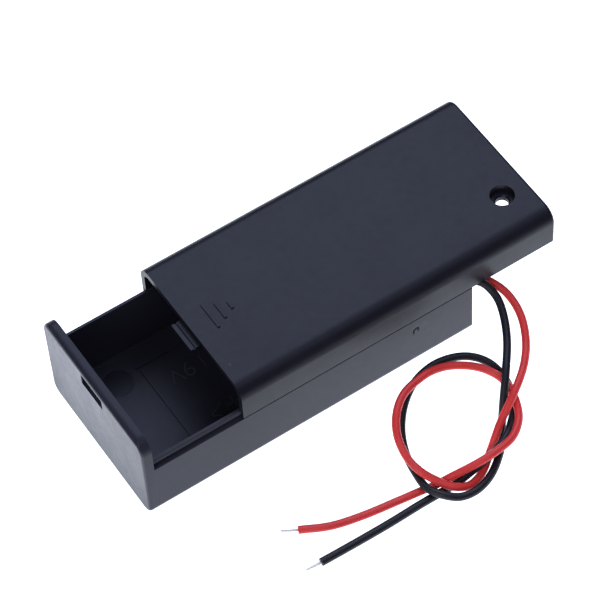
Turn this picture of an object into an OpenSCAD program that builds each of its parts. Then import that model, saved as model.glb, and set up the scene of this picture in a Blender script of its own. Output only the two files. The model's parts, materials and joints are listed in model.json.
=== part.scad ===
// Box for one 9 V block battery, with a sliding cover, a slide switch in the underside and two leads.
// X runs to the end where the leads come out, Y to the left side and Z up. Sizes are in millimetres.

/* [Box] */
// Outside length, from the front wall to the rear wall
box_length = 69; // [68:0.5:70]
// Outside width
box_width = 33.3; // [33:0.1:35]
// Outside height with the cover on
box_height = 21.5; // [21.2:0.1:22.5]
// Thickness of the floor
floor_thickness = 1.2; // [1:0.1:1.5]
// Thickness of the side walls
side_wall = 1.45; // [1.35:0.05:1.6]
// Thickness of the front wall, which the cover closes against
front_wall = 2; // [1.8:0.1:2.2]
// Thickness of the rear wall
rear_wall = 1.6; // [1.4:0.1:1.8]
// Radius of the long edges under the box
bottom_radius = 2.2; // [1.6:0.1:2.6]
// Radius of the cover's long edges and of the front wall's top corners
top_radius = 3; // [2.4:0.1:3.4]
// Radius of the upright corners
corner_radius = 0.3; // [0.2:0.1:0.6]
// Radius of the edges round the front face
front_edge = 0.6; // [0.4:0.1:0.8]
// Radius of the front wall's outer top edge
front_top = 1.2; // [0.9:0.1:1.4]
// Radius of the edge under the rear end
rear_foot = 1.8; // [1.4:0.1:2.2]

/* [Rails] */
// Height of the ledge that the cover's flanges run along
ledge_height = 13.2; // [13:0.1:13.5]
// Height of each rail above the ledge
rail_height = 1.65; // [1.55:0.05:1.8]
// How far the rail's head stands in from the side
rail_inset = 0.65; // [0.55:0.05:0.7]
// Depth of the groove under the rail's head
rail_groove = 0.35; // [0.3:0.05:0.4]
// Height of the rail's head
rail_head = 0.7; // [0.6:0.05:0.8]
// Width of the chamfer along the rail's outer top edge
rail_chamfer = 0.3; // [0.2:0.05:0.35]
// Height of that chamfer
rail_taper = 0.6; // [0.3:0.05:0.65]
// Gap between the cover and everything that it slides along
slide_gap = 0.1; // [0.05:0.05:0.15]
// Height of the seam between the ledge and the cover's flanges
seam_gap = 0.25; // [0.15:0.05:0.35]

/* [Cover] */
// Thickness of the cover's top plate
cover_plate = 1.3; // [1.1:0.1:1.4]
// Thickness of the cover's flanges
cover_flange = 1.2; // [1.1:0.05:1.3]
// Radius of the edges round the cover's rear end
cover_edge = 0.7; // [0.4:0.1:0.9]
// How far the cover stands open
cover_open = 18.2; // [0:0.1:40]
// How far the closed cover stops short of the rear face
cover_inset = 0.2; // [0.1:0.1:0.4]
// Width of the tongue that enters the front wall
tongue_width = 6.5; // [5:0.1:7]
// How far the tongue reaches ahead of the cover
tongue_reach = 1.85; // [1.4:0.05:1.9]
// Thickness of the tongue
tongue_thickness = 1.2; // [0.9:0.1:1.4]
// Width of the grip ribs
grip_width = 0.5; // [0.4:0.05:0.6]
// Height of the grip ribs above the cover
grip_height = 0.25; // [0.2:0.05:0.5]
// Length of the longest grip rib
grip_length = 5.8; // [5.4:0.1:6.4]
// Distance from one grip rib to the next
grip_pitch = 2.05; // [1.8:0.05:2.2]

/* [Cover screw] */
// Distance from the closed screw position to the rear face
screw_back = 5.7; // [5.4:0.1:6]
// Distance from the middle of the box to the screw
screw_side = 7.9; // [7.6:0.1:8]
// Diameter of the screw's clearance hole
screw_hole = 2.4; // [2.2:0.1:2.8]
// Diameter of the recess for the screw's head
screw_recess = 4.6; // [4.2:0.1:5]
// Depth of the recess for the screw's head
recess_depth = 1.8; // [1.6:0.1:2.2]
// Plastic left under the screw's head
screw_seat = 1.2; // [1:0.1:1.2]
// Diameter of the pillar that the screw bites in
pillar_size = 5; // [4.6:0.1:5.2]
// Diameter of the pilot hole in the pillar
pilot_hole = 1.7; // [1.5:0.1:2]
// Depth of the pilot hole
pilot_depth = 10; // [8:0.5:12]

/* [Battery bay] */
// Length of the rear compartment, from the partition to the rear wall
compartment_length = 13.4; // [13:0.1:13.8]
// Thickness of the partition
partition_thickness = 1.5; // [1.3:0.1:1.7]
// Height of the partition's top edge
partition_height = 17; // [16.6:0.1:17.4]
// Distance between the two contacts, the pitch of the battery's studs
contact_pitch = 12.7; // [12.5:0.1:12.9]
// Width of each contact
contact_width = 7; // [6:0.1:7.2]
// Thickness of the contacts' sheet
contact_sheet = 0.4; // [0.3:0.05:0.45]
// How far each contact's bow stands out from the partition
contact_reach = 2.6; // [2.4:0.1:2.8]

/* [Switch] */
// Travel of the knob, the pitch of the terminals too
switch_travel = 3; // [2.8:0.1:3.1]
// Width of the switch's can
can_width = 5.6; // [5.4:0.1:6]
// Length of the switch's can
can_length = 10.4; // [10.2:0.1:10.8]
// Height of the can up to the top of its board
can_height = 4.6; // [4.4:0.1:4.8]
// Thickness of the can's sheet
can_sheet = 0.4; // [0.35:0.05:0.45]
// Distance between the two fixing posts
post_pitch = 15; // [14.8:0.1:15.2]
// Depth of the well in the underside
well_depth = 2; // [1.8:0.1:2.2]

/* [Leads] */
// Diameter of the leads' insulation
wire_size = 1.5; // [1.2:0.1:1.5]
// Diameter of the bare wire at the ends
bare_size = 0.6; // [0.4:0.1:0.8]
// Length of the bare wire at the ends
bare_length = 3; // [2:0.5:5]

/* [Hidden] */
$fn = 48;
half_l = box_length / 2;
half_w = box_width / 2;
inner_half = half_w - side_wall;
bay_front = -half_l + front_wall;
rear_inner = half_l - rear_wall;
partition_back = rear_inner - compartment_length;
partition_x = partition_back - partition_thickness;
bay_length = partition_x - bay_front;

// How far a piece runs into the one that it is joined to
join = 0.3;

// Rails and cover, as heights above the table and distances from the middle
rail_top = ledge_height + rail_height;
head_bottom = rail_top - rail_head;
rail_y = half_w - rail_inset;
neck_y = rail_y - rail_groove;
plate_bottom = box_height - cover_plate;
flange_bottom = ledge_height + seam_gap;
flange_y = half_w - cover_flange;
cover_front = bay_front + slide_gap + cover_open;
cover_rear = half_l - cover_inset + cover_open;
inner_radius = top_radius - cover_flange;

// The screw's boss, and what has to pass under it when the cover slides
boss_bottom = box_height - recess_depth - screw_seat;
boss_size = screw_recess + 2;
pillar_top = boss_bottom - slide_gap;
boss_clear = 0.25;
rear_top = boss_bottom - boss_clear;
lip_bottom = rear_top + slide_gap;
lip_thickness = 1.2;
screw_x = half_l - screw_back;
hole_chamfer = 0.3;

// The tongue and its slot
tongue_top = plate_bottom - 0.3;
tongue_bottom = tongue_top - tongue_thickness;
tongue_root = 4;
slot_width = tongue_width + 0.4;
slot_bottom = tongue_bottom - 1.3;
slot_top = tongue_top + 0.2;
tongue_nose = 0.6;
tongue_groove = [0.4, 0.35];

// How far behind the cover's front the grip ribs start, and how much shorter each next one is
grip_start = 4.1;
grip_step = 2;

// The line sunk in the floor, round the middle of the bay
frame_line = [bay_length - 16.5, box_width - 12];
frame_x = bay_front + bay_length / 2 + 3.4;
frame_width = 0.6;
frame_depth = 0.25;

// The contacts: a leg on the partition, a bend under it and a bowed leaf
notch_z = partition_height - 1;
leaf_z = 10;
leaf_half = 5;
leaf_radius = 10.05;
leaf_angle = asin(leaf_half / leaf_radius);
bow_x = partition_x - contact_reach + contact_sheet / 2;
leg_x = partition_x - contact_sheet / 2;
leaf_end_x = bow_x + leaf_radius * (1 - cos(leaf_angle));
bend_radius = (leg_x - leaf_end_x) / (1 + cos(leaf_angle));
bend_z = leaf_z - leaf_half + bend_radius * sin(leaf_angle);
tail_x = partition_back + contact_sheet;
tail_bottom = 11;
tail_solder_z = 12.4;
rib_depth = 1.6;
rib_width = 0.8;

// The switch stands on a platform over a well in the underside
switch_setback = 6.5;
switch_x = partition_back + switch_setback;
switch_y = 4.5;
platform_top = well_depth + 1.5;
post_size = 1.9;
post_head = [1.6, 0.9];
ear_half = post_pitch / 2 + 1.9;
ear_width = 4.8;
ear_radius = 1.2;
platform_half_x = can_width / 2 + 1.9;
platform_half_y = ear_half + 0.3;
well_size = [7, 14];
window_slack = 4;
window_size = [3, switch_travel + window_slack];
board_top = platform_top + can_height;
board_thickness = 1;
board_bottom = board_top - board_thickness;
tab_size = [0.9, 1.8];
tab_place = 0.62;
lug_width = 1.6;
lug_eye = 0.8;
lug_sheet = 0.5;
lug_height = 3.4;
lug_top = board_top + lug_height;
lug_solder_z = lug_top - 1;
head_thickness = 0.3;
blade_bottom = board_bottom - head_thickness / 2;
knob_y = switch_y - switch_travel / 2;
knob_bottom = platform_top + can_sheet + 0.1;
knob_height = 2;
knob_half = 2.8;
knob_top = knob_bottom + knob_height;
stem_size = [2.4, 3.4];
wiper_sheet = 0.2;
wiper_top = board_bottom - head_thickness - 0.05;
solder_lug_x = switch_x - lug_sheet / 2;

// Drops of solder: radius of the foot and height
tail_drop = [1.3, 1.1];
lug_drop = [0.8, 1.1];

// The outlet in the rear wall
outlet_y = -12.75;
outlet_z = 11.75;
outlet_width = 4.7;
outlet_height = 2.3;

// The leads, from the solder joint to the cut end. X counts from the rear face of the box.
WIRE_SIDES = 8;
RED_PATH = [
    [-10.1, -10.7, 12.7], [-6.3, -11.9, 12.5], [-2, -11.6, 11.9], [1.3, -12.5, 11.3], [4, -15.1, 10.7],
    [5.5, -19.2, 10.1], [5.2, -23.9, 9.2], [3.2, -28.4, 8], [-0.1, -32.3, 7.3], [-4.7, -35.7, 6.6],
    [-8.9, -37.8, 4.1], [-10.9, -39, 2.7], [-13, -40.3, 1.1], [-16.4, -42.8, 0.8], [-19.9, -44, 1.2],
    [-22.9, -43.3, 2.4], [-25, -41, 3.4], [-26.7, -38.4, 4.7], [-27.2, -35, 5.4], [-26.5, -31.2, 6.8],
    [-24.4, -28, 8.2], [-21, -25.6, 8.7], [-16.5, -24.6, 8.7], [-12.1, -24.5, 7.7], [-8.2, -25.9, 6.6],
    [-5.3, -28.1, 5.5], [-3.8, -31.4, 4.9], [-4.2, -35.4, 4.5], [-5.9, -39, 3.9], [-9.1, -41.6, 4.1],
    [-13.2, -42.6, 4.5], [-17.3, -42.5, 4], [-22.1, -41.4, 2.5], [-26.1, -40.2, 0.9], [-31.8, -39.3, 0.8],
    [-38.4, -38.3, 0.8], [-44.4, -36.8, 0.8], [-49.6, -34.2, 0.8]
];
BLACK_PATH = [
    [-10.9, -1.3, 10.8], [-11.1, -6.4, 10.5], [-9.9, -10.4, 10.3], [-7.3, -12.7, 10.6],
    [-3.8, -13.4, 11.3], [-0.1, -13.8, 11.8], [2.4, -15.5, 11.7], [3.4, -18.7, 10.6], [2.6, -22.3, 9.5],
    [0.3, -26.7, 8.3], [-3.4, -31.5, 7.5], [-6.5, -35.1, 4.5], [-8.7, -37.7, 1.3], [-11.3, -41, 0.8],
    [-15.3, -44.1, 1], [-19.3, -45.6, 1.4], [-22.8, -45.4, 1.8], [-25.4, -43.6, 2.4], [-26.9, -40.9, 2.5],
    [-27, -37.7, 3], [-26.3, -33.5, 3.5], [-24.7, -29.8, 5.2], [-21.8, -26.5, 6.5], [-17.9, -23.9, 6.9],
    [-13.5, -22.8, 7], [-9.3, -23.2, 6.7], [-5.9, -24.7, 6], [-3.6, -27.3, 4.9], [-2.8, -30.7, 3.4],
    [-3.8, -34.4, 2.6], [-6.2, -37.5, 2.4], [-9.9, -40.5, 3], [-14.2, -41.9, 2.8], [-18.3, -42.2, 1.9],
    [-22.8, -42.2, 0.8], [-28.8, -42.1, 0.8], [-35.8, -42.2, 0.8], [-42.9, -42.1, 0.8],
    [-49.9, -41.9, 0.8]
];
RED_START = [tail_x + 0.8, -contact_pitch / 2 - 0.65, tail_solder_z];
BLACK_START = [solder_lug_x - 0.85, switch_y - 0.3, lug_solder_z];
JUMPER_START = [tail_x + 0.8, contact_pitch / 2 + 0.15, tail_solder_z];
JUMPER_END = [solder_lug_x - 0.85, switch_y + switch_travel, lug_solder_z];
RED_ROUTE = concat([RED_START], [for (p = RED_PATH) p + [half_l, 0, 0]]);
BLACK_ROUTE = concat([BLACK_START], [for (p = BLACK_PATH) p + [half_l, 0, 0]]);
JUMPER_ROUTE = [
    JUMPER_START,
    JUMPER_START * 0.62 + JUMPER_END * 0.38 + [0, 0, 0.55],
    JUMPER_START * 0.3 + JUMPER_END * 0.7 + [0, 0, 0.45],
    JUMPER_END
];

BLACK_PLASTIC = [0.1, 0.1, 0.11];
BARE_METAL = [0.75, 0.75, 0.72];

// Runs a section, drawn with Y to the right and Z up, along X
module along_x(x0, x1) {
    translate([x0, 0, 0])
        rotate([90, 0, 90])
            linear_extrude(x1 - x0)
                children();
}

// Runs a section, drawn with X to the right and Z up, along Y
module along_y(y0, y1) {
    translate([0, y1, 0])
        rotate([90, 0, 0])
            linear_extrude(y1 - y0)
                children();
}

// A block between two opposite corners
module block(low, high) {
    translate(low)
        cube(high - low);
}

module rounded_rectangle(size, r) {
    square([size[0], size[1] - 2 * r], center = true);
    square([size[0] - 2 * r, size[1]], center = true);
    for (sx = [-1, 1], sy = [-1, 1])
        translate([sx * (size[0] / 2 - r), sy * (size[1] / 2 - r)])
            circle(r);
}

// A drop of solder on a flat face, r wide at its foot, standing h high along Z
module dome(r, h) {
    ball = (r * r + h * h) / (2 * h);
    intersection() {
        translate([0, 0, h - ball])
            sphere(ball);
        translate([-2 * r, -2 * r, 0])
            cube([4 * r, 4 * r, h + 1]);
    }
}

// Outline of the closed box, seen along its length
module outline_section() {
    translate([-half_w, bottom_radius])
        square([box_width, box_height - bottom_radius - top_radius]);
    translate([-half_w + bottom_radius, 0])
        square([box_width - 2 * bottom_radius, box_height / 2]);
    translate([-half_w + top_radius, box_height / 2])
        square([box_width - 2 * top_radius, box_height / 2]);
    for (s = [-1, 1]) {
        translate([s * (half_w - bottom_radius), bottom_radius])
            circle(bottom_radius);
        translate([s * (half_w - top_radius), box_height - top_radius])
            circle(top_radius);
    }
}

// What a fillet of radius r takes off an edge, seen along the edge, on the given sides of its centre
module edge_waste(r, side_x, side_y) {
    difference() {
        translate([min(side_x, 0), min(side_y, 0)] * (r + 1))
            square(r + 1);
        circle(r);
    }
}

// The same, a quarter turn round a corner of the closed box's outline
module corner_waste(y, z, corner, r, turn) {
    rotate([90, 0, 90])
        translate([y, z, r])
            rotate(turn)
                rotate_extrude(angle = 90)
                    translate([corner - r, 0])
                        edge_waste(r, 1, -1);
}

// What a fillet takes off all round the closed box's end at X = 0. Neighbouring cuts overlap.
module end_waste(r) {
    top_y = half_w - top_radius;
    top_z = box_height - top_radius;
    bottom_y = half_w - bottom_radius;
    along_y(-top_y - join, top_y + join)
        translate([r, box_height - r])
            edge_waste(r, -1, 1);
    along_y(-bottom_y - join, bottom_y + join)
        translate([r, r])
            edge_waste(r, -1, -1);
    for (s = [-1, 1]) {
        translate([r, s * (half_w - r), bottom_radius - join])
            linear_extrude(top_z - bottom_radius + 2 * join)
                edge_waste(r, -1, s);
        corner_waste(s * top_y, top_z, top_radius, r, s > 0 ? 0 : 90);
        corner_waste(s * bottom_y, bottom_radius, bottom_radius, r, s > 0 ? 270 : 180);
    }
}

// Outline of the box seen from its side, with its front top edge and rear bottom edge rounded
module side_section() {
    translate([-half_l, 0])
        square([half_l, box_height - front_top]);
    translate([-half_l + front_top, 0])
        square([box_length - front_top - rear_foot, box_height]);
    translate([0, rear_foot])
        square([half_l, box_height - rear_foot]);
    translate([-half_l + front_top, box_height - front_top])
        circle(front_top);
    translate([half_l - rear_foot, rear_foot])
        circle(rear_foot);
}

// What is cut away over the ledges, round the rails and above them
module over_rails_section() {
    chamfer_y = rail_y - rail_chamfer;
    chamfer_z = rail_top - rail_taper;
    polygon([
        [-half_w - 1, ledge_height], [-neck_y, ledge_height], [-neck_y, head_bottom],
        [-rail_y, head_bottom], [-rail_y, chamfer_z], [-chamfer_y, rail_top], [chamfer_y, rail_top],
        [rail_y, chamfer_z], [rail_y, head_bottom], [neck_y, head_bottom], [neck_y, ledge_height],
        [half_w + 1, ledge_height], [half_w + 1, box_height + 1], [-half_w - 1, box_height + 1]
    ]);
}

// The hollow of the cover: between the lips, along the grooves and under the plate
module cover_hollow_section() {
    lip_y = neck_y + slide_gap;
    groove_y = rail_y + slide_gap;
    lip_top = head_bottom - slide_gap;
    groove_top = rail_top + slide_gap;
    arc_z = plate_bottom - inner_radius;
    translate([-lip_y, flange_bottom - 1])
        square([2 * lip_y, lip_top - flange_bottom + 1 + join]);
    translate([-groove_y, lip_top])
        square([2 * groove_y, groove_top - lip_top]);
    translate([-flange_y, lip_top + join])
        square([2 * flange_y, arc_z - lip_top - join]);
    translate([-flange_y + inner_radius, lip_top + join])
        square([2 * (flange_y - inner_radius), plate_bottom - lip_top - join]);
    for (s = [-1, 1])
        translate([s * (flange_y - inner_radius), arc_z])
            circle(inner_radius);
}

// A wedge of points round the origin, r out, from angle a0 to angle a1
function fan(r, a0, a1, steps = 6) =
    concat([[0, 0]], [for (i = [0:steps]) let (a = a0 + (a1 - a0) * i / steps) r * [cos(a), sin(a)]]);

// A strip of sheet, t thick, bent along an arc of radius r
module arc_strip(r, t, a0, a1) {
    intersection() {
        difference() {
            circle(r + t / 2);
            circle(r - t / 2);
        }
        polygon(fan(2 * r, a0, a1));
    }
}

module front_slot() {
    block([-half_l - 1, -slot_width / 2, slot_bottom], [bay_front + 1, slot_width / 2, slot_top]);
}

// The shallow line round the middle of the bay's floor
module floor_frame() {
    translate([frame_x, 0, floor_thickness - frame_depth])
        linear_extrude(frame_depth + 1)
            difference() {
                square(frame_line, center = true);
                square(frame_line - 2 * [frame_width, frame_width], center = true);
            }
}

module outlet_hole() {
    reach = (outlet_width - outlet_height) / 2;
    along_x(rear_inner - 1, half_l + 1)
        translate([outlet_y, outlet_z]) {
            square([2 * reach, outlet_height], center = true);
            for (s = [-1, 1])
                translate([s * reach, 0])
                    circle(d = outlet_height);
        }
}

// The wall between the bay and the rear compartment, with ribs that keep the contacts in line
module partition() {
    difference() {
        block([partition_x, -inner_half - 0.5, floor_thickness / 2],
            [partition_back, inner_half + 0.5, partition_height]);
        for (s = [-1, 1])
            translate([0, s * contact_pitch / 2, 0])
                block([partition_x - 1, -contact_width / 2 - 0.1, notch_z],
                    [partition_back + 1, contact_width / 2 + 0.1, partition_height + 1]);
        for (s = [-1, 1])
            translate([0, s * inner_half, 0])
                block([partition_x - 1, -0.6, ledge_height],
                    [partition_back + 1, 0.6, partition_height + 1]);
    }
    for (s = [-1, 1], e = [-1, 1])
        translate([0, s * contact_pitch / 2 + e * (contact_width / 2 + 0.3 + rib_width / 2), 0])
            block([partition_x - rib_depth, -rib_width / 2, floor_thickness / 2],
                [partition_x + 0.5, rib_width / 2, leaf_z + leaf_half]);
}

module pillar() {
    translate([screw_x, -screw_side, floor_thickness / 2])
        cylinder(d = pillar_size, h = pillar_top - floor_thickness / 2);
    block([screw_x + pillar_size / 2 - 0.6, -screw_side - 0.6, floor_thickness / 2],
        [rear_inner + 0.5, -screw_side + 0.6, ledge_height]);
}

// Two posts, their heads spread over the switch's ears
module posts() {
    for (s = [-1, 1])
        translate([switch_x, switch_y + s * post_pitch / 2, platform_top]) {
            translate([0, 0, -join])
                cylinder(d = post_size, h = can_sheet + 2 * join);
            translate([0, 0, can_sheet])
                dome(post_head[0], post_head[1]);
        }
}

module base_housing() {
    color(BLACK_PLASTIC)
        difference() {
            union() {
                difference() {
                    intersection() {
                        difference() {
                            along_x(-half_l, half_l)
                                outline_section();
                            translate([-half_l, 0, 0])
                                end_waste(front_edge);
                        }
                        along_y(-half_w, half_w)
                            side_section();
                        linear_extrude(box_height)
                            rounded_rectangle([box_length, box_width], corner_radius);
                    }
                    along_x(bay_front, half_l + 1)
                        over_rails_section();
                    block([bay_front, -inner_half, floor_thickness], [rear_inner, inner_half, box_height]);
                }
                block([rear_inner, -inner_half, ledge_height - 1], [half_l, inner_half, rear_top]);
                partition();
                pillar();
                block([switch_x - platform_half_x, switch_y - platform_half_y, floor_thickness / 2],
                    [switch_x + platform_half_x, switch_y + platform_half_y, platform_top]);
                posts();
            }
            front_slot();
            floor_frame();
            outlet_hole();
            translate([screw_x, -screw_side, pillar_top - pilot_depth])
                cylinder(d = pilot_hole, h = pilot_depth + 1);
            translate([switch_x, switch_y, -1])
                linear_extrude(well_depth + 1)
                    rounded_rectangle(well_size, 1);
            translate([switch_x, switch_y, well_depth - 0.5])
                linear_extrude(platform_top - well_depth + 1)
                    square(window_size, center = true);
        }
}

module sliding_cover() {
    color([0.16, 0.17, 0.19])
        difference() {
            union() {
                difference() {
                    along_x(cover_front, cover_rear)
                        outline_section();
                    translate([cover_rear, 0, 0])
                        mirror([1, 0, 0])
                            end_waste(cover_edge);
                    block([cover_front - 1, -half_w - 1, -1], [cover_rear + 1, half_w + 1, flange_bottom]);
                    difference() {
                        along_x(cover_front - 1, cover_rear + 1)
                            cover_hollow_section();
                        block([cover_rear - lip_thickness, -half_w, lip_bottom],
                            [cover_rear + 2, half_w, box_height]);
                    }
                }
                block([cover_front, -tongue_width / 2, tongue_bottom],
                    [cover_front + tongue_root, tongue_width / 2, plate_bottom + join]);
                block([cover_front - tongue_reach, -tongue_width / 2, tongue_bottom],
                    [cover_front + join, tongue_width / 2, tongue_top]);
                translate([screw_x + cover_open, -screw_side, boss_bottom])
                    cylinder(d = boss_size, h = plate_bottom + join - boss_bottom);
                for (i = [0:2]) {
                    length = grip_length - i * grip_step;
                    translate([cover_front + grip_start + i * grip_pitch, -length / 2, plate_bottom + join])
                        cube([grip_width, length, cover_plate - join + grip_height]);
                }
            }
            translate([screw_x + cover_open, -screw_side, boss_bottom - 1])
                cylinder(d = screw_hole, h = screw_seat + 2);
            translate([screw_x + cover_open, -screw_side, boss_bottom + screw_seat - hole_chamfer])
                cylinder(d1 = screw_hole, d2 = screw_hole + 2 * hole_chamfer, h = hole_chamfer);
            translate([screw_x + cover_open, -screw_side, box_height - recess_depth])
                cylinder(d = screw_recess, h = recess_depth + 1);
            translate([cover_front - tongue_reach + tongue_nose, 0, tongue_top - tongue_groove[1]])
                translate([0, -tongue_width, 0])
                    cube([tongue_groove[0], 2 * tongue_width, 1]);
        }
}

// A leaf contact: soldered tail, bridge over the partition, leg, bend and bowed leaf
module contact_section() {
    translate([partition_back, tail_bottom])
        square([contact_sheet, notch_z + contact_sheet - tail_bottom]);
    translate([partition_x - contact_sheet, notch_z])
        square([partition_thickness + 2 * contact_sheet, contact_sheet]);
    translate([partition_x - contact_sheet, bend_z])
        square([contact_sheet, notch_z + contact_sheet - bend_z]);
    translate([leg_x - bend_radius, bend_z])
        arc_strip(bend_radius, contact_sheet, leaf_angle - 180, 0);
    translate([bow_x + leaf_radius, leaf_z])
        arc_strip(leaf_radius, contact_sheet, 180 - leaf_angle, 180 + leaf_angle);
}

module contact(y) {
    color(BARE_METAL)
        along_y(y - contact_width / 2, y + contact_width / 2)
            contact_section();
}

module positive_contact() {
    contact(-contact_pitch / 2);
}

module negative_contact() {
    contact(contact_pitch / 2);
}

// The can is folded from one sheet: a face with two ears, four walls, and tabs bent over the board
module switch_frame() {
    hx = can_width / 2;
    hy = can_length / 2;
    color(BARE_METAL)
        translate([switch_x, switch_y, 0]) {
            difference() {
                translate([0, 0, platform_top])
                    linear_extrude(can_sheet) {
                        rounded_rectangle([ear_width, 2 * ear_half], ear_radius);
                        square([can_width, can_length], center = true);
                    }
                for (s = [-1, 1])
                    translate([0, s * post_pitch / 2, platform_top - 1])
                        cylinder(d = 2, h = 3);
                block([-window_size[0] / 2, -window_size[1] / 2, platform_top - 1],
                    [window_size[0] / 2, window_size[1] / 2, platform_top + 1]);
            }
            for (s = [-1, 1]) {
                translate([s * (hx - can_sheet / 2), 0, 0])
                    block([-can_sheet / 2, -hy, platform_top], [can_sheet / 2, hy, board_top]);
                translate([0, s * (hy - can_sheet / 2), 0])
                    block([-hx, -can_sheet / 2, platform_top], [hx, can_sheet / 2, board_bottom]);
                for (e = [-1, 1])
                    translate([s * (hx - tab_size[0] / 2), e * hy * tab_place, board_top + can_sheet / 2])
                        cube([tab_size[0], tab_size[1], can_sheet], center = true);
            }
        }
}

module switch_board() {
    color([0.55, 0.4, 0.2])
        translate([switch_x, switch_y, 0])
            difference() {
                block([-can_width / 2 + can_sheet, -can_length / 2, board_bottom],
                    [can_width / 2 - can_sheet, can_length / 2, board_top]);
                for (i = [-1:1])
                    translate([0, i * switch_travel, board_bottom - 1])
                        block([-lug_sheet / 2, -lug_width / 2, 0], [lug_sheet / 2, lug_width / 2, 3]);
            }
}

// A solder lug: flat head under the board, and a blade with an eye above it
module terminal(i) {
    color(BARE_METAL)
        translate([switch_x, switch_y + i * switch_travel, 0]) {
            block([-1.1, -1, board_bottom - head_thickness], [1.1, 1, board_bottom]);
            rotate([90, 0, 90])
                translate([0, 0, -lug_sheet / 2])
                    linear_extrude(lug_sheet)
                        difference() {
                            union() {
                                translate([-lug_width / 2, blade_bottom])
                                    square([lug_width, lug_top - lug_width / 2 - blade_bottom]);
                                translate([0, lug_top - lug_width / 2])
                                    circle(d = lug_width);
                            }
                            translate([0, lug_solder_z])
                                circle(d = lug_eye);
                        }
        }
}

module switch_terminal_1() {
    terminal(-1);
}

module switch_terminal_2() {
    terminal(0);
}

module switch_terminal_3() {
    terminal(1);
}

// The slider: a body inside the can, and a ridged stem that ends just inside the well
module switch_knob() {
    color(BLACK_PLASTIC)
        translate([switch_x, knob_y, 0])
            difference() {
                union() {
                    block([-can_width / 2 + can_sheet + 0.1, -knob_half, knob_bottom],
                        [can_width / 2 - can_sheet - 0.1, knob_half, knob_top]);
                    block([-stem_size[0] / 2, -stem_size[1] / 2, 0.5],
                        [stem_size[0] / 2, stem_size[1] / 2, knob_bottom + 0.5]);
                }
                for (i = [-1:1])
                    translate([0, i * 0.9, 0.5])
                        cube([stem_size[0] + 1, 0.4, 0.6], center = true);
            }
}

// The bridge on the slider, with two bumps that join neighbouring terminals
module switch_wiper() {
    color([0.8, 0.65, 0.3])
        translate([switch_x, knob_y, knob_top]) {
            block([-0.9, -2.4, 0], [0.9, 2.4, wiper_sheet]);
            for (s = [-1, 1])
                translate([0, s * switch_travel / 2, wiper_sheet / 2])
                    dome(0.7, wiper_top - knob_top - wiper_sheet / 2);
        }
}

function unit(v) = v / norm(v);

// Direction of a route at each of its points
function directions(p) = [for (i = [0:len(p) - 1]) unit(p[min(i + 1, len(p) - 1)] - p[max(i - 1, 0)])];

// A sideways direction at each point, carried along the route without twist
function sideways(d, i = 0, last = [0.3, 0.2, 1], out = []) =
    i == len(d) ? out : let (n = unit(last - d[i] * (last * d[i]))) sideways(d, i + 1, n, concat(out, [n]));

// Insulation round a route, flat at both ends
module wire_tube(route) {
    count = len(route);
    d = directions(route);
    n = sideways(d);
    points = [for (i = [0:count - 1], k = [0:WIRE_SIDES - 1])
        let (a = 360 * k / WIRE_SIDES)
        route[i] + wire_size / 2 * (cos(a) * n[i] + sin(a) * cross(d[i], n[i]))];
    skin = [for (i = [0:count - 2], k = [0:WIRE_SIDES - 1], half = [0, 1])
        let (a = i * WIRE_SIDES + k, b = i * WIRE_SIDES + (k + 1) % WIRE_SIDES)
        half == 0 ? [a, a + WIRE_SIDES, b] : [b, a + WIRE_SIDES, b + WIRE_SIDES]];
    first = [for (k = [0:WIRE_SIDES - 1]) k];
    last = [for (k = [WIRE_SIDES - 1:-1:0]) (count - 1) * WIRE_SIDES + k];
    polyhedron(points, concat([first], skin, [last]));
}

module jumper_wire() {
    color([0.03, 0.03, 0.03])
        wire_tube(JUMPER_ROUTE);
}

module red_wire() {
    color([0.75, 0.1, 0.1])
        wire_tube(RED_ROUTE);
}

module black_wire() {
    color([0.03, 0.03, 0.03])
        wire_tube(BLACK_ROUTE);
}

// Bare wire straight on from the end of a route
module bare_end(route) {
    tip = route[len(route) - 1];
    d = unit(tip - route[len(route) - 2]);
    color(BARE_METAL)
        translate(tip)
            rotate([0, acos(d[2]), atan2(d[1], d[0])])
                cylinder(d = bare_size, h = bare_length);
}

module red_wire_end() {
    bare_end(RED_ROUTE);
}

module black_wire_end() {
    bare_end(BLACK_ROUTE);
}

module tail_solder(y) {
    color(BARE_METAL)
        translate([tail_x, y, tail_solder_z])
            rotate([0, 90, 0])
                dome(tail_drop[0], tail_drop[1]);
}

module lug_solder(i) {
    color(BARE_METAL)
        translate([solder_lug_x, switch_y + i * switch_travel, lug_solder_z])
            rotate([0, -90, 0])
                dome(lug_drop[0], lug_drop[1]);
}

module solder_positive() {
    tail_solder(-contact_pitch / 2 - 0.4);
}

module solder_negative() {
    tail_solder(contact_pitch / 2);
}

module solder_switch_in() {
    lug_solder(1);
}

module solder_switch_out() {
    lug_solder(0);
}

base_housing();
sliding_cover();
positive_contact();
negative_contact();
switch_frame();
switch_board();
switch_terminal_1();
switch_terminal_2();
switch_terminal_3();
switch_knob();
switch_wiper();
jumper_wire();
red_wire();
black_wire();
red_wire_end();
black_wire_end();
solder_positive();
solder_negative();
solder_switch_in();
solder_switch_out();
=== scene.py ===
"""Dresses the battery box: camera, leads, materials, moulded marks, floor and light."""
import json
import math

import bmesh
import bpy
from mathutils import Matrix, Vector

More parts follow.
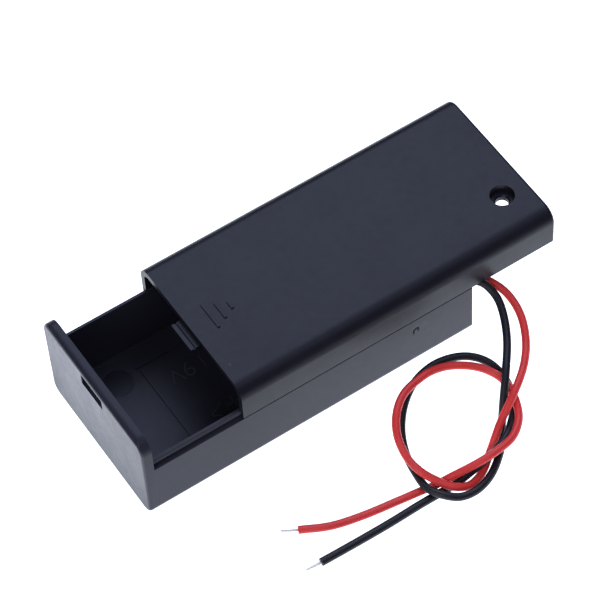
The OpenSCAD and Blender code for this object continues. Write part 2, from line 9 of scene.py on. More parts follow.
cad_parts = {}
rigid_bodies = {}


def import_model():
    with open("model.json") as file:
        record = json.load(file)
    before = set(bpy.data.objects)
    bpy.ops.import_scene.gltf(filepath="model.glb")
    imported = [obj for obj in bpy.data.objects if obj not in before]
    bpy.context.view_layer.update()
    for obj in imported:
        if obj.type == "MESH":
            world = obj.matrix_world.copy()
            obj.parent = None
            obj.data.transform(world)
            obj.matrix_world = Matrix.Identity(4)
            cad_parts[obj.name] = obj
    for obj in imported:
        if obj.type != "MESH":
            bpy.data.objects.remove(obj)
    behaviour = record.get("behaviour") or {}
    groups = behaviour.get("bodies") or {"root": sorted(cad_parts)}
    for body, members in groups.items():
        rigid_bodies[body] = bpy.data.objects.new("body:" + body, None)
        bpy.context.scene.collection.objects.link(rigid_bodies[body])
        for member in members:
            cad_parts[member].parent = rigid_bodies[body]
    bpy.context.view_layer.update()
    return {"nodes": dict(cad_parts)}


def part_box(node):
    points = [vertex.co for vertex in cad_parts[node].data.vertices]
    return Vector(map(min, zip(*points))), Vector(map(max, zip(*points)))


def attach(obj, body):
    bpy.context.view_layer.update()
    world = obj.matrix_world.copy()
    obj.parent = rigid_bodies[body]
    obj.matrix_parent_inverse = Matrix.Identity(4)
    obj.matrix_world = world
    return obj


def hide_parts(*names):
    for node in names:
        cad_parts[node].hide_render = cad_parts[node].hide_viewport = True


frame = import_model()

MM = 0.001
NODES = frame["nodes"]
SCENE = bpy.context.scene
UP = Vector((0, 0, 1))

# Where the housing's rear face and right side are, in mm
BOX_LOW, BOX_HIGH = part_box("base_housing")
REAR_X = BOX_HIGH[0] / MM
RIGHT_Y = BOX_LOW[1] / MM

# Camera, solved on the box's edges in the photograph
SENSOR_MM = 36
LENS_MM = 184.807
CLIP_NEAR = 0.01
CLIP_FAR = 20
CAMERA_PLACE = (-0.150196, -0.27604, 0.46163)
CAMERA_RIGHT = (0.834045, -0.549984, -0.043431)
CAMERA_UP = (0.470804, 0.668506, 0.575711)
CAMERA_BACK = (-0.287598, -0.500617, 0.816499)


def make_camera():
    """The photograph's camera."""
    data = bpy.data.cameras.new("photo_camera")
    data.sensor_width = SENSOR_MM
    data.lens = LENS_MM
    data.clip_start = CLIP_NEAR
    data.clip_end = CLIP_FAR
    cam = bpy.data.objects.new("photo_camera", data)
    SCENE.collection.objects.link(cam)
    turn = Matrix((CAMERA_RIGHT, CAMERA_UP, CAMERA_BACK)).transposed().to_4x4()
    cam.matrix_world = Matrix.Translation(CAMERA_PLACE) @ turn
    SCENE.camera = cam


make_camera()

# Leads, with points in mm. Along a path, X counts from the rear face
WIRE_D = 1.5 * MM
ROUND_STEPS = 6
CURVE_STEPS = 8
RED_START = (20.7, -7, 12.4)
RED_PATH = [
    [-10.1, -10.7, 12.7], [-6.3, -11.9, 12.5], [-2, -11.6, 11.9], [1.3, -12.5, 11.3], [4, -15.1, 10.7],
    [5.5, -19.2, 10.1], [5.2, -23.9, 9.2], [3.2, -28.4, 8], [-0.1, -32.3, 7.3], [-4.7, -35.7, 6.6],
    [-8.9, -37.8, 4.1], [-10.9, -39, 2.7], [-13, -40.3, 1.1], [-16.4, -42.8, 0.8], [-19.9, -44, 1.2],
    [-22.9, -43.3, 2.4], [-25, -41, 3.4], [-26.7, -38.4, 4.7], [-27.2, -35, 5.4], [-26.5, -31.2, 6.8],
    [-24.4, -28, 8.2], [-21, -25.6, 8.7], [-16.5, -24.6, 8.7], [-12.1, -24.5, 7.7], [-8.2, -25.9, 6.6],
    [-5.3, -28.1, 5.5], [-3.8, -31.4, 4.9], [-4.2, -35.4, 4.5], [-5.9, -39, 3.9], [-9.1, -41.6, 4.1],
    [-13.2, -42.6, 4.5], [-17.3, -42.5, 4], [-22.1, -41.4, 2.5], [-26.1, -40.2, 0.9], [-31.8, -39.3, 0.8],
    [-38.4, -38.3, 0.8], [-44.4, -36.8, 0.8], [-49.6, -34.2, 0.8]
]
BLACK_START = (24.9, 4.2, 10.5)
BLACK_PATH = [
    [-10.9, -1.3, 10.8], [-11.1, -6.4, 10.5], [-9.9, -10.4, 10.3], [-7.3, -12.7, 10.6],
    [-3.8, -13.4, 11.3], [-0.1, -13.8, 11.8], [2.4, -15.5, 11.7], [3.4, -18.7, 10.6], [2.6, -22.3, 9.5],
    [0.3, -26.7, 8.3], [-3.4, -31.5, 7.5], [-6.5, -35.1, 4.5], [-8.7, -37.7, 1.3], [-11.3, -41, 0.8],
    [-15.3, -44.1, 1], [-19.3, -45.6, 1.4], [-22.8, -45.4, 1.8], [-25.4, -43.6, 2.4], [-26.9, -40.9, 2.5],
    [-27, -37.7, 3], [-26.3, -33.5, 3.5], [-24.7, -29.8, 5.2], [-21.8, -26.5, 6.5], [-17.9, -23.9, 6.9],
    [-13.5, -22.8, 7], [-9.3, -23.2, 6.7], [-5.9, -24.7, 6], [-3.6, -27.3, 4.9], [-2.8, -30.7, 3.4],
    [-3.8, -34.4, 2.6], [-6.2, -37.5, 2.4], [-9.9, -40.5, 3], [-14.2, -41.9, 2.8], [-18.3, -42.2, 1.9],
    [-22.8, -42.2, 0.8], [-28.8, -42.1, 0.8], [-35.8, -42.2, 0.8], [-42.9, -42.1, 0.8],
    [-49.9, -41.9, 0.8]
]
JUMPER_ROUTE = [(20.7, 6.5, 12.4), (22.33, 6.88, 12.23), (23.64, 7.2, 11.52), (24.9, 7.5, 10.5)]


def route(start, path):
    """A lead's points in metres: the solder joint, then the points counted from the rear face."""
    return [Vector(start) * MM] + [Vector((p[0] + REAR_X, p[1], p[2])) * MM for p in path]


def slopes(points):
    """A tangent at each point. Heights never overshoot, so a lead that lies on the table stays on it."""
    out = []
    last = len(points) - 1
    for i, p in enumerate(points):
        before = points[max(i - 1, 0)]
        after = points[min(i + 1, last)]
        inside = 0 < i < last
        d = (after - before) / (2 if inside else 1)
        rise_in = p.z - before.z
        rise_out = after.z - p.z
        if inside and rise_in * rise_out <= 0:
            d.z = 0
        elif inside:
            d.z = math.copysign(min(abs(d.z), 2 * abs(rise_in), 2 * abs(rise_out)), d.z)
        out.append(d)
    return out


def wire_curve(name, points):
    """Round insulation on one smooth curve, with flat cut ends."""
    data = bpy.data.curves.new(name, "CURVE")
    data.dimensions = "3D"
    data.bevel_depth = 1
    data.bevel_resolution = ROUND_STEPS
    data.resolution_u = CURVE_STEPS
    data.use_fill_caps = True
    spline = data.splines.new("BEZIER")
    spline.bezier_points.add(len(points) - 1)
    for b, p, d in zip(spline.bezier_points, points, slopes(points)):
        b.handle_left_type = b.handle_right_type = "FREE"
        b.co = p
        b.radius = WIRE_D / 2
        b.handle_left = p - d / 3
        b.handle_right = p + d / 3
    obj = bpy.data.objects.new(name, data)
    SCENE.collection.objects.link(obj)
    return obj


RED_ROUTE = route(RED_START, RED_PATH)
BLACK_ROUTE = route(BLACK_START, BLACK_PATH)
red_lead = wire_curve("red_lead", RED_ROUTE)
black_lead = wire_curve("black_lead", BLACK_ROUTE)
jumper_lead = wire_curve("jumper_lead", [Vector(p) * MM for p in JUMPER_ROUTE])

# Bare ends: one straight strand with others twisted round it
OUTER_STRANDS = 6
STRAND_RADIUS = 0.09 * MM
STRAND_SIDES = 7
STRAND_STEPS = 14
TWIST_RADIUS = 0.19 * MM
TWIST_TURNS = 0.9
TWIST_TAPER = 0.25
BARE_LENGTH = 3 * MM
BARE_SINK = 0.02 * MM
RED_BEND = 0.25 * MM
BLACK_BEND = 0.1 * MM


def tube(bm, points, radius, sides):
    """A closed tube along a few points."""
    rings = []
    for i, p in enumerate(points):
        d = (points[min(i + 1, len(points) - 1)] - points[max(i - 1, 0)]).normalized()
        across = d.cross(UP).normalized()
        over = across.cross(d)
        angles = [math.tau * k / sides for k in range(sides)]
        ring = [p + radius * (math.cos(a) * across + math.sin(a) * over) for a in angles]
        rings.append([bm.verts.new(c) for c in ring])
    for a, b in zip(rings, rings[1:]):
        for k in range(sides):
            bm.faces.new((a[k], a[(k + 1) % sides], b[(k + 1) % sides], b[k]))
    bm.faces.new(list(reversed(rings[0])))
    bm.faces.new(rings[-1])


def mesh_object(name, bm, smooth=True):
    """An object in the scene from a finished bmesh."""
    data = bpy.data.meshes.new(name)
    bmesh.ops.recalc_face_normals(bm, faces=bm.faces)
    bm.to_mesh(data)
    bm.free()
    for f in data.polygons:
        f.use_smooth = smooth
    obj = bpy.data.objects.new(name, data)
    SCENE.collection.objects.link(obj)
    return obj


def bare_strands(name, points, bend):
    """Tinned strands, twisted together, that come straight out of a lead's cut end."""
    tip = points[-1]
    ahead = (tip - points[-2]).normalized()
    side = ahead.cross(UP).normalized()
    over = side.cross(ahead)
    bm = bmesh.new()
    for k in range(OUTER_STRANDS + 1):
        line = []
        for i in range(STRAND_STEPS + 1):
            f = i / STRAND_STEPS
            r = 0 if k == OUTER_STRANDS else TWIST_RADIUS * (1 - TWIST_TAPER * f)
            a = math.tau * (k / OUTER_STRANDS + TWIST_TURNS * f)
            shift = side * (bend * f * f) + side * (r * math.cos(a)) + over * (r * math.sin(a))
            line.append(tip + ahead * (f * BARE_LENGTH - BARE_SINK) + shift)
        tube(bm, line, STRAND_RADIUS, STRAND_SIDES)
    return mesh_object(name, bm)


red_strands = bare_strands("red_strands", RED_ROUTE, RED_BEND)
black_strands = bare_strands("black_strands", BLACK_ROUTE, BLACK_BEND)
for piece, node in (
    (red_lead, "red_wire"), (black_lead, "black_wire"), (jumper_lead, "jumper_wire"),
    (red_strands, "red_wire_end"), (black_strands, "black_wire_end"),
):
    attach(piece, "box")
    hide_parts(node)

# Materials. Scales of noise are per metre, and most of a noise lies between the two values here
NOISE_LOW = 0.3
NOISE_HIGH = 0.7
GRAIN_DEPTH = 0.03 * MM


class Shader:
    """A node material whose coordinates are the part's own, in metres."""

    def __init__(self, name):
        self.mat = bpy.data.materials.new(name)
        self.mat.use_nodes = True
        self.tree = self.mat.node_tree
        self.bsdf = self.tree.nodes["Principled BSDF"]
        self.coords = self.node("ShaderNodeTexCoord").outputs["Object"]

    def node(self, kind, **values):
        """A new node with some of its settings."""
        n = self.tree.nodes.new(kind)
        for key, value in values.items():
            setattr(n, key, value)
        return n

    def link(self, a, b):
        """Joins an output to an input."""
        self.tree.links.new(a, b)

    def put(self, socket, value):
        """Joins an output to an input, or sets the input to a plain value."""
        if isinstance(value, bpy.types.NodeSocket):
            self.link(value, socket)
        else:
            socket.default_value = value

    def set(self, socket, value):
        """Joins or sets one of the surface's own inputs."""
        self.put(self.bsdf.inputs[socket], value)

    def noise(self, scale, detail=2.0, rough=0.5, vector=None):
        """Cloudy noise from 0 to 1."""
        n = self.node("ShaderNodeTexNoise")
        n.inputs["Scale"].default_value = scale
        n.inputs["Detail"].default_value = detail
        n.inputs["Roughness"].default_value = rough
        self.link(vector or self.coords, n.inputs["Vector"])
        return n.outputs["Fac"]

    def ramp(self, value, low, high, to_low=0.0, to_high=1.0):
        """Maps one range to another, with the ends held."""
        n = self.node("ShaderNodeMapRange")
        n.inputs["From Min"].default_value = low
        n.inputs["From Max"].default_value = high
        n.inputs["To Min"].default_value = to_low
        n.inputs["To Max"].default_value = to_high
        self.link(value, n.inputs["Value"])
        return n.outputs["Result"]

    def spread(self, noise, to_low=0.0, to_high=1.0):
        """Maps the common range of a noise to another range."""
        return self.ramp(noise, NOISE_LOW, NOISE_HIGH, to_low, to_high)

    def math(self, operation, a, b):
        """One sum on two values."""
        n = self.node("ShaderNodeMath", operation=operation)
        self.put(n.inputs[0], a)
        self.put(n.inputs[1], b)
        return n.outputs[0]

    def mix(self, factor, a, b):
        """A blend of two colours."""
        n = self.node("ShaderNodeMix", data_type="RGBA")
        self.put(n.inputs["Factor"], factor)
        self.put(n.inputs["A"], a)
        self.put(n.inputs["B"], b)
        return n.outputs["Result"]

    def bump(self, height, strength, distance):
        """Surface relief from a height."""
        n = self.node("ShaderNodeBump")
        n.inputs["Strength"].default_value = strength
        n.inputs["Distance"].default_value = distance
        self.link(height, n.inputs["Height"])
        return n.outputs["Normal"]

    def reach(self, centre, radii, tilt=0.0):
        """Distance from a point in mm, as a share of the radius along each axis, tilted about Y."""
        place = self.node("ShaderNodeMapping", vector_type="TEXTURE")
        place.inputs["Location"].default_value = Vector(centre) * MM
        place.inputs["Rotation"].default_value = (0, math.radians(tilt), 0)
        place.inputs["Scale"].default_value = Vector(radii) * MM
        self.link(self.coords, place.inputs["Vector"])
        length = self.node("ShaderNodeVectorMath", operation="LENGTH")
        self.link(place.outputs["Vector"], length.inputs[0])
        return length.outputs["Value"]


# Moulded plastic
FLOW_SCALE = 90
MOTTLE_SCALE = 650
SPARK_SCALE = 5200
GLOSS_SPREAD = 0.03
MOTTLE_HEIGHT = 0.25


def moulded_plastic(name, dark, light, rough, grain, shine=0.2, marks=None):
    """Black moulded plastic: spark texture, faint flow in colour and gloss, and a mould's marks."""
    s = Shader(name)
    flow = s.noise(FLOW_SCALE, 3)
    mottle = s.noise(MOTTLE_SCALE, 3, 0.6)
    spark = s.noise(SPARK_SCALE, 2, 0.6)
    colour = s.mix(flow, dark, light)
    flow_gloss = s.spread(flow, rough - GLOSS_SPREAD, rough + GLOSS_SPREAD)
    gloss = s.math("ADD", flow_gloss, s.spread(mottle, -GLOSS_SPREAD, GLOSS_SPREAD))
    height = s.math("ADD", s.ramp(spark, 0, 1, 0, grain), s.ramp(mottle, 0, 1, 0, MOTTLE_HEIGHT))
    if marks:
        colour, gloss, height = marks(s, colour, gloss, height)
    s.set("Base Color", colour)
    s.set("Roughness", gloss)
    s.set("Specular IOR Level", shine)
    s.set("Normal", s.bump(height, 1.0, GRAIN_DEPTH))
    return s.mat


# Marks on the plastic: places, radii and reach into the side in mm, depths as shares of GRAIN_DEPTH
MARK_REACH = 0.5
PIN_PLACE = (-25, 9.9, 1.2)
PIN_RADII = (3, 3, 0.6)
PIN_DEPTH = 1.2
PIN_COLOUR = (0.002, 0.002, 0.004, 1)
# Each spot's X and Z, radii along X and Z, and tilt in degrees
SCAR_SPOTS = ((21.6, 10.2, 0.4, 1.35, 4), (22.5, 10.4, 0.4, 1.2, -6), (22.1, 10.8, 0.9, 0.5, 0))
SCAR_SCALE = 1500
SCAR_DEPTH = 1.5
SCAR_COLOUR = (0.001, 0.001, 0.002, 1)
BLUSH_PLACE = (23.8, RIGHT_Y, 10.6)
BLUSH_RADII = (1.3, MARK_REACH, 1.3)
BLUSH_COLOUR = (0.06, 0.06, 0.065, 1)
LINE_PLACE = (-32.5, RIGHT_Y, 7)
LINE_RADII = (0.12, MARK_REACH, 6.4)
LINE_DEPTH = 0.5
SCUFF_PLACE = (-12.6, -10.6, 21.5)
SCUFF_RADII = (0.22, 0.45, 0.3)
SCUFF_COLOUR = (0.06, 0.065, 0.075, 1)


def tray_marks(s, colour, gloss, height):
    """An ejector pin's print on the floor, a gate scar and a faint joint line on the right side."""
    pin = s.reach(PIN_PLACE, PIN_RADII)
    height = s.math("SUBTRACT", height, s.ramp(pin, 1.0, 0.97, 0, PIN_DEPTH))
    colour = s.mix(s.ramp(pin, 1.0, 0.9, 0, 0.45), colour, PIN_COLOUR)
    rub = s.spread(s.noise(SCAR_SCALE, 3, 0.7), 0.5, 1.0)
    for x, z, wide, tall, tilt in SCAR_SPOTS:
        spot = s.ramp(s.reach((x, RIGHT_Y, z), (wide, MARK_REACH, tall), tilt), 1.0, 0.4)
        scar = s.ramp(s.math("MULTIPLY", spot, rub), 0.15, 0.75, 0, 0.8)
        colour = s.mix(scar, colour, SCAR_COLOUR)
        gloss = s.math("MAXIMUM", gloss, scar)
        height = s.math("SUBTRACT", height, s.math("MULTIPLY", scar, SCAR_DEPTH))
    blush = s.ramp(s.reach(BLUSH_PLACE, BLUSH_RADII), 1.0, 0.1, 0, 0.35)
    colour = s.mix(blush, colour, BLUSH_COLOUR)
    line = s.reach(LINE_PLACE, LINE_RADII)
    height = s.math("SUBTRACT", height, s.ramp(line, 1.0, 0.4, 0, LINE_DEPTH))
    return colour, gloss, height


def cover_marks(s, colour, gloss, height):
    """A small pale scuff on the top."""
    scuff = s.ramp(s.reach(SCUFF_PLACE, SCUFF_RADII), 1.0, 0.2, 0, 0.5)
    return s.mix(scuff, colour, SCUFF_COLOUR), gloss, height


# Insulation, metal and board
BLOTCH_SCALE = 260
SKIN_SCALE = 3800
SKIN_RELIEF = 0.12
SKIN_SHINE = 0.4
DULL_SCALE = 420
ROLLED = (1, 1, 0.08)
ROLLED_RELIEF = 0.025
ROLLED_DEPTH = 0.02 * MM
FIBRE_SCALE = 1800
FIBRE_RELIEF = 0.2
FIBRE_DARK = (0.13, 0.06, 0.02, 1)
FIBRE_LIGHT = (0.24, 0.12, 0.045, 1)


def insulation(name, dark, light, rough):
    """Soft wire insulation, blotchy in colour and gloss, with a fine skin."""
    s = Shader(name)
    blotch = s.noise(BLOTCH_SCALE, 3)
    s.set("Base Color", s.mix(s.spread(blotch), dark, light))
    s.set("Roughness", s.spread(blotch, rough - 0.05, rough + 0.05))
    s.set("Specular IOR Level", SKIN_SHINE)
    s.set("Normal", s.bump(s.noise(SKIN_SCALE), SKIN_RELIEF, GRAIN_DEPTH))
    return s.mat


def metal(name, dark, light, rough, scale, metallic=1.0):
    """Plated or tinned metal with rolled-in streaks and a few dull patches."""
    s = Shader(name)
    stretch = s.node("ShaderNodeMapping")
    stretch.inputs["Scale"].default_value = ROLLED
    s.link(s.coords, stretch.inputs["Vector"])
    streak = s.noise(scale, 3, 0.6, stretch.outputs["Vector"])
    dull = s.noise(DULL_SCALE)
    s.set("Base Color", s.mix(s.ramp(dull, 0.35, 0.65), dark, light))
    s.set("Metallic", metallic)
    polish = s.spread(streak, rough - 0.06, rough + 0.06)
    s.set("Roughness", s.math("ADD", polish, s.ramp(dull, 0.4, 0.7, 0, 0.08)))
    s.set("Normal", s.bump(streak, ROLLED_RELIEF, ROLLED_DEPTH))
    return s.mat


def board(name):
    """Brown bonded board with a short-fibre fleck."""
    s = Shader(name)
    fibre = s.noise(FIBRE_SCALE, 4, 0.65)
    s.set("Base Color", s.mix(s.ramp(fibre, 0.35, 0.65), FIBRE_DARK, FIBRE_LIGHT))
    s.set("Roughness", s.spread(fibre, 0.5, 0.65))
    s.set("Normal", s.bump(fibre, FIBRE_RELIEF, GRAIN_DEPTH))
    return s.mat


# The housing and the cover are moulded from one black plastic. The housing's colour is painted lighter, as
# painted light in the tray and on its walls, and the cover's darker, as painted shade on its rounded edges
black_plastic = moulded_plastic(
    "black_plastic", dark=(0.0212, 0.0203, 0.0311, 1), light=(0.0279, 0.0268, 0.0392, 1),
    rough=0.36, grain=0.3, shine=0.15, marks=tray_marks)
cover_plastic_painted_shade = moulded_plastic(
    "cover_plastic_painted_shade", dark=(0.0092, 0.009, 0.0145, 1), light=(0.0128, 0.0123, 0.019, 1),
    rough=0.36, grain=0.3, marks=cover_marks)
mark_plastic = moulded_plastic(
    "mark_plastic", dark=(0.045, 0.043, 0.056, 1), light=(0.058, 0.055, 0.07, 1), rough=0.55, grain=0.3)
knob_plastic = moulded_plastic(
    "knob_plastic", dark=(0.01, 0.01, 0.011, 1), light=(0.016, 0.016, 0.017, 1), rough=0.3, grain=0.1)
red_insulation = insulation(
    "red_insulation", dark=(0.67, 0.032, 0.03, 1), light=(0.76, 0.044, 0.039, 1), rough=0.42)
black_insulation = insulation(
    "black_insulation", dark=(0.0055, 0.0053, 0.009, 1), light=(0.008, 0.0077, 0.0125, 1), rough=0.5)
contact_metal = metal(
    "contact_metal", dark=(0.74, 0.73, 0.7, 1), light=(0.83, 0.82, 0.79, 1), rough=0.3, scale=2600)
# The strands are only half metal, so their pale colour, lit as a plain surface, is a painted reflection in
# place of the tin's bright shine
tinned_wire = metal(
    "tinned_wire", dark=(0.8, 0.78, 0.75, 1), light=(0.91, 0.89, 0.86, 1), rough=0.42, scale=4200,
    metallic=0.5)
solder = metal("solder", dark=(0.6, 0.6, 0.6, 1), light=(0.75, 0.75, 0.75, 1), rough=0.22, scale=900)
wiper_metal = metal(
    "wiper_metal", dark=(0.62, 0.4, 0.13, 1), light=(0.76, 0.52, 0.2, 1), rough=0.3, scale=2600)
board_resin = board("switch_board")

# Nodes by what they are made of
SHEET_NODES = ["positive_contact", "negative_contact", "switch_frame", "switch_terminal_1",
               "switch_terminal_2", "switch_terminal_3"]
SOLDER_NODES = ["solder_positive", "solder_negative", "solder_switch_in", "solder_switch_out"]


def dress(names, material):
    """Gives some nodes their one material."""
    for name in names:
        obj = NODES[name]
        obj.data.materials.clear()
        obj.data.materials.append(material)


dress(["base_housing"], black_plastic)
dress(["sliding_cover"], cover_plastic_painted_shade)
dress(["switch_knob"], knob_plastic)
dress(SHEET_NODES, contact_metal)
dress(["switch_board"], board_resin)
dress(["switch_wiper"], wiper_metal)
dress(SOLDER_NODES, solder)
for piece, material, slot in (
    (red_lead, red_insulation, "red_insulation"), (black_lead, black_insulation, "black_insulation"),
    (jumper_lead, black_insulation, "black_insulation"), (red_strands, tinned_wire, "tinned_wire"),
    (black_strands, tinned_wire, "tinned_wire"),
):
    piece.data.materials.append(material)

# Softened edges
MERGE_REACH = 0.002 * MM
SHARP_ANGLE = math.radians(32)
BEVEL_ANGLE = math.radians(40)
MOULDED_EDGE = 0.12 * MM
KNOB_EDGE = 0.08 * MM
SHEET_EDGE = 0.05 * MM
FINE_EDGE = 0.02 * MM


def shading_group():
    """Joins a node's faces and shades them smooth, with every edge past SHARP_ANGLE kept sharp."""
    group = bpy.data.node_groups.new("join_and_shade", "GeometryNodeTree")
    group.interface.new_socket("Geometry", in_out="INPUT", socket_type="NodeSocketGeometry")
    group.interface.new_socket("Geometry", in_out="OUTPUT", socket_type="NodeSocketGeometry")
    add = group.nodes.new
    link = group.links.new
    merge = add("GeometryNodeMergeByDistance")
    merge.inputs["Distance"].default_value = MERGE_REACH
    faces = add("GeometryNodeSetShadeSmooth")
    edges = add("GeometryNodeSetShadeSmooth")
    edges.domain = "EDGE"
    edges.inputs["Shade Smooth"].default_value = False
    angle = add("GeometryNodeInputMeshEdgeAngle")
    sharp = add("FunctionNodeCompare")
    sharp.operation = "GREATER_THAN"
    sharp.inputs["B"].default_value = SHARP_ANGLE
    link(add("NodeGroupInput").outputs[0], merge.inputs["Geometry"])
    link(merge.outputs["Geometry"], faces.inputs["Geometry"])
    link(faces.outputs["Geometry"], edges.inputs["Geometry"])
    link(angle.outputs["Unsigned Angle"], sharp.inputs["A"])
    link(sharp.outputs["Result"], edges.inputs["Selection"])
    link(edges.outputs["Geometry"], add("NodeGroupOutput").inputs[0])
    return group


SHADE = shading_group()


def soften(names, width, segments=2):
    """Rounds the sharp edges of some nodes a little, as moulding and stamping do."""
    for name in names:
        obj = NODES[name]
        join = obj.modifiers.new("join_and_shade", "NODES")
        join.node_group = SHADE
        bevel = obj.modifiers.new("soft_edges", "BEVEL")
        bevel.width = width
        bevel.segments = segments
        bevel.limit_method = "ANGLE"
        bevel.angle_limit = BEVEL_ANGLE
        bevel.use_clamp_overlap = True
        bevel.harden_normals = True


soften(["base_housing", "sliding_cover"], MOULDED_EDGE, segments=3)
soften(["switch_knob"], KNOB_EDGE)
soften(SHEET_NODES + ["switch_board"], SHEET_EDGE)
soften(SOLDER_NODES + ["switch_wiper"], FINE_EDGE)

# Moulded marks, with places on the floor in mm
LETTER_THIN = -0.02
LETTER_STEPS = 5
FLOOR_Z = 1.15 * MM
MARK_TOP = 1.3 * MM
VOLTS_HEIGHT = 3.2 * MM
VOLTS_PLACE = Vector((-14.4 * MM, 5.15 * MM, FLOOR_Z))
BAR_WIDTH = 0.25 * MM
BAR_TAPER = 0.8
# The minus, the two bars of the plus, and the two bars of the corner mark
BARS = (
    ((-9.9, 3.55), (-9.9, 6.75)), ((-9.9, -6.8), (-9.9, -4.2)), ((-11.2, -5.5), (-8.6, -5.5)),
    ((-15, -5.9), (-12, -4.4)), ((-15, -5.9), (-13.2, -6.8)),
)
WELL_Z = 2.05 * MM
SWITCH_HEIGHT = 1.6 * MM
SWITCH_RAISED = 0.25 * MM
OFF_PLACE = Vector((26 * MM, -0.6 * MM, WELL_Z))
ON_PLACE = Vector((26 * MM, 9.6 * MM, WELL_Z))


def add_letters(bm, text, height, thickness, turn, place):
    """Adds raised letters to a mesh, thickness out of the face that turn and place give."""
    curve = bpy.data.curves.new("letters", "FONT")
    curve.body = text
    curve.extrude = 0.5
    curve.offset = LETTER_THIN
    curve.resolution_u = LETTER_STEPS
    maker = bpy.data.objects.new("letters", curve)
    mesh = bpy.data.meshes.new_from_object(maker)
    spots = [v.co for v in mesh.vertices]
    low, high = ([pick(c[i] for c in spots) for i in range(3)] for pick in (min, max))
    size = height / (high[1] - low[1])
    middle = Vector(((low[0] + high[0]) / 2, (low[1] + high[1]) / 2, low[2]))
    scale = Matrix.Diagonal((size, size, thickness / (high[2] - low[2]), 1))
    mesh.transform(Matrix.Translation(place) @ turn @ scale @ Matrix.Translation(-middle))
    bm.from_mesh(mesh)
    for data, store in ((maker, bpy.data.objects), (curve, bpy.data.curves), (mesh, bpy.data.meshes)):
        store.remove(data)


def add_bar(bm, start, end):
    """Adds a raised bar on the floor between two points, narrower at its top."""
    along = (end - start).normalized() * BAR_WIDTH / 2
    side = Vector((-along.y, along.x))
    rings = []
    for z, inset in ((FLOOR_Z, 1), (MARK_TOP, BAR_TAPER)):
        corners = [start - (along - side) * inset, start - (along + side) * inset,
                   end + (along - side) * inset, end + (along + side) * inset]
        rings.append([bm.verts.new((c.x, c.y, z)) for c in corners])
    for k in range(4):
        bm.faces.new((rings[0][k], rings[0][(k + 1) % 4], rings[1][(k + 1) % 4], rings[1][k]))
    for ring in rings:
        bm.faces.new(ring)


def floor_marks():
    """Nine volts, the two signs and a corner mark, raised on the floor. They read from the left."""
    half_turn = Matrix.Rotation(math.pi, 4, "Z")
    bm = bmesh.new()
    add_letters(bm, "9V", VOLTS_HEIGHT, MARK_TOP - FLOOR_Z, half_turn, VOLTS_PLACE)
    for start, end in BARS:
        add_bar(bm, Vector(start) * MM, Vector(end) * MM)
    return mesh_object("floor_marks", bm, smooth=False)


def switch_marks():
    """The two positions of the switch, raised in its well. They read from below."""
    upside_down = Matrix.Rotation(math.pi, 4, "X")
    bm = bmesh.new()
    for text, place in (("OFF", OFF_PLACE), ("ON", ON_PLACE)):
        add_letters(bm, text, SWITCH_HEIGHT, SWITCH_RAISED, upside_down, place)
    return mesh_object("switch_marks", bm, smooth=False)


for piece in (floor_marks(), switch_marks()):
    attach(piece, "box")
    piece.data.materials.append(mark_plastic)

# Floor, which glows with painted light. Each change of its glow has two places in metres, and the glow
# that is added at each
FLOOR_HALF = 3
FLOOR_DROP = 0.02 * MM
FLOOR_COLOUR = (0.14, 0.14, 0.15, 1)
GLOW_COLOUR = (1, 1.07, 1.2, 1)
FAR_GLOW = 0.2
NEAR_GLOW = 0.8
POOL_CENTRE = (13, 12, 0)
POOL_RADII = (100, 100, 100)
POOL_EDGE = (0.9, 1.4, 1.0, 0.0)
LEFT_SLANT = 0.4
LEFT_GLOW = (0, 0.026, 0, 0.25)
FRONT_GLOW = (-0.0345, -0.0405, 0, 1.0)
REAR_GLOW = (-0.03, 0.034, 0, 0.35)
RIGHT_GLOW = (-0.062, -0.03, 0, 0.45)
# Painted shade: the glow is dimmer along the box's right foot
FOOT_SHADE = (-0.0167, -0.026, -0.22, 0)


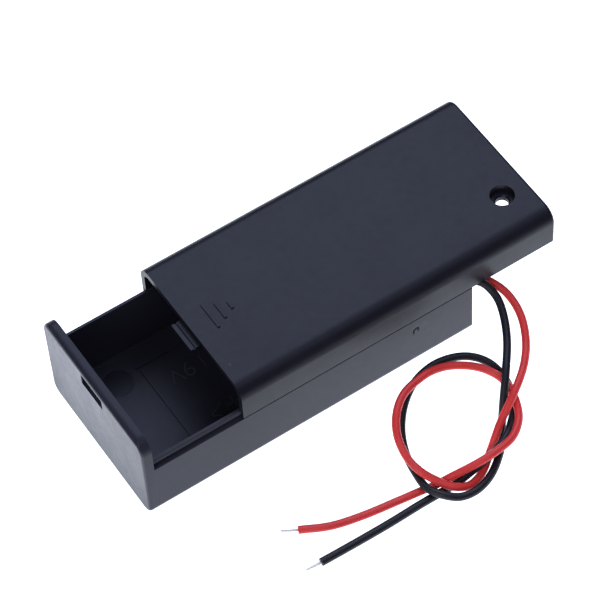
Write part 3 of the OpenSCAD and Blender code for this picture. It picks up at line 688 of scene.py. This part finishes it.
def make_floor():
    """A white table that glows with painted light: a painted pool of light, brightest ahead of the box,
    with painted shade along the box's right foot, that turns to an even grey far off.
    """
    bm = bmesh.new()
    bmesh.ops.create_grid(bm, x_segments=1, y_segments=1, size=FLOOR_HALF)
    floor = mesh_object("floor", bm, smooth=False)
    floor.location.z = -FLOOR_DROP
    s = Shader("floor_white")
    s.set("Base Color", FLOOR_COLOUR)
    s.set("Roughness", 0.9)
    s.set("Emission Color", GLOW_COLOUR)
    axes = s.node("ShaderNodeSeparateXYZ")
    s.link(s.coords, axes.inputs[0])
    x = axes.outputs["X"]
    y = axes.outputs["Y"]
    # Painted light: bands of stronger glow left of, ahead of, behind and right of the box, and painted
    # shade by its right foot
    left = s.ramp(s.math("SUBTRACT", y, s.math("MULTIPLY", x, LEFT_SLANT)), *LEFT_GLOW)
    front = s.ramp(x, *FRONT_GLOW)
    rear = s.ramp(x, *REAR_GLOW)
    right = s.math("ADD", s.ramp(y, *RIGHT_GLOW), s.ramp(y, *FOOT_SHADE))
    near = s.ramp(s.reach(POOL_CENTRE, POOL_RADII), *POOL_EDGE)
    lift = s.math("ADD", s.math("ADD", left, front), s.math("ADD", rear, right))
    pool = s.math("MULTIPLY", s.math("ADD", lift, NEAR_GLOW), near)
    s.set("Emission Strength", s.math("ADD", pool, FAR_GLOW))
    floor.data.materials.append(s.mat)


# Light: name, place, side, radiance, tint, and whether the part's gloss shows it
LIGHTS = (
    ("overhead", (0.45, 0.8, 1.3), 1.3, 2.9, (0.74, 0.84, 1.14), True),
    ("ceiling", (0.36, -0.26, 1.22), 0.9, 0.9, (0.8, 0.88, 1.1), True),
    ("key", (-0.9, -0.45, 0.75), 0.6, 4.3, (0.93, 0.98, 1.06), True),
    ("fill", (-0.15, -0.8, 1.0), 1.0, 1.15, (0.9, 0.95, 1.05), False),
)
ROOM_COLOUR = (0.85, 0.92, 1, 1)
ROOM_STRENGTH = 0.02


def softbox(name, place, side, radiance, tint, mirrored):
    """A square area light that faces the box."""
    data = bpy.data.lights.new(name, "AREA")
    data.shape = "SQUARE"
    data.size = side
    data.color = tint
    data.energy = radiance * math.pi * side * side
    obj = bpy.data.objects.new(name, data)
    obj.location = place
    obj.rotation_euler = (-Vector(place)).to_track_quat("-Z", "Y").to_euler()
    obj.visible_glossy = mirrored
    SCENE.collection.objects.link(obj)


def make_light():
    """A dim room with two large cool lights above, a key in front and a fill from the right."""
    world = bpy.data.worlds.new("studio")
    world.use_nodes = True
    background = world.node_tree.nodes["Background"]
    background.inputs["Color"].default_value = ROOM_COLOUR
    background.inputs["Strength"].default_value = ROOM_STRENGTH
    SCENE.world = world
    for light in LIGHTS:
        softbox(*light)
    SCENE.view_settings.view_transform = "Standard"


make_floor()
make_light()
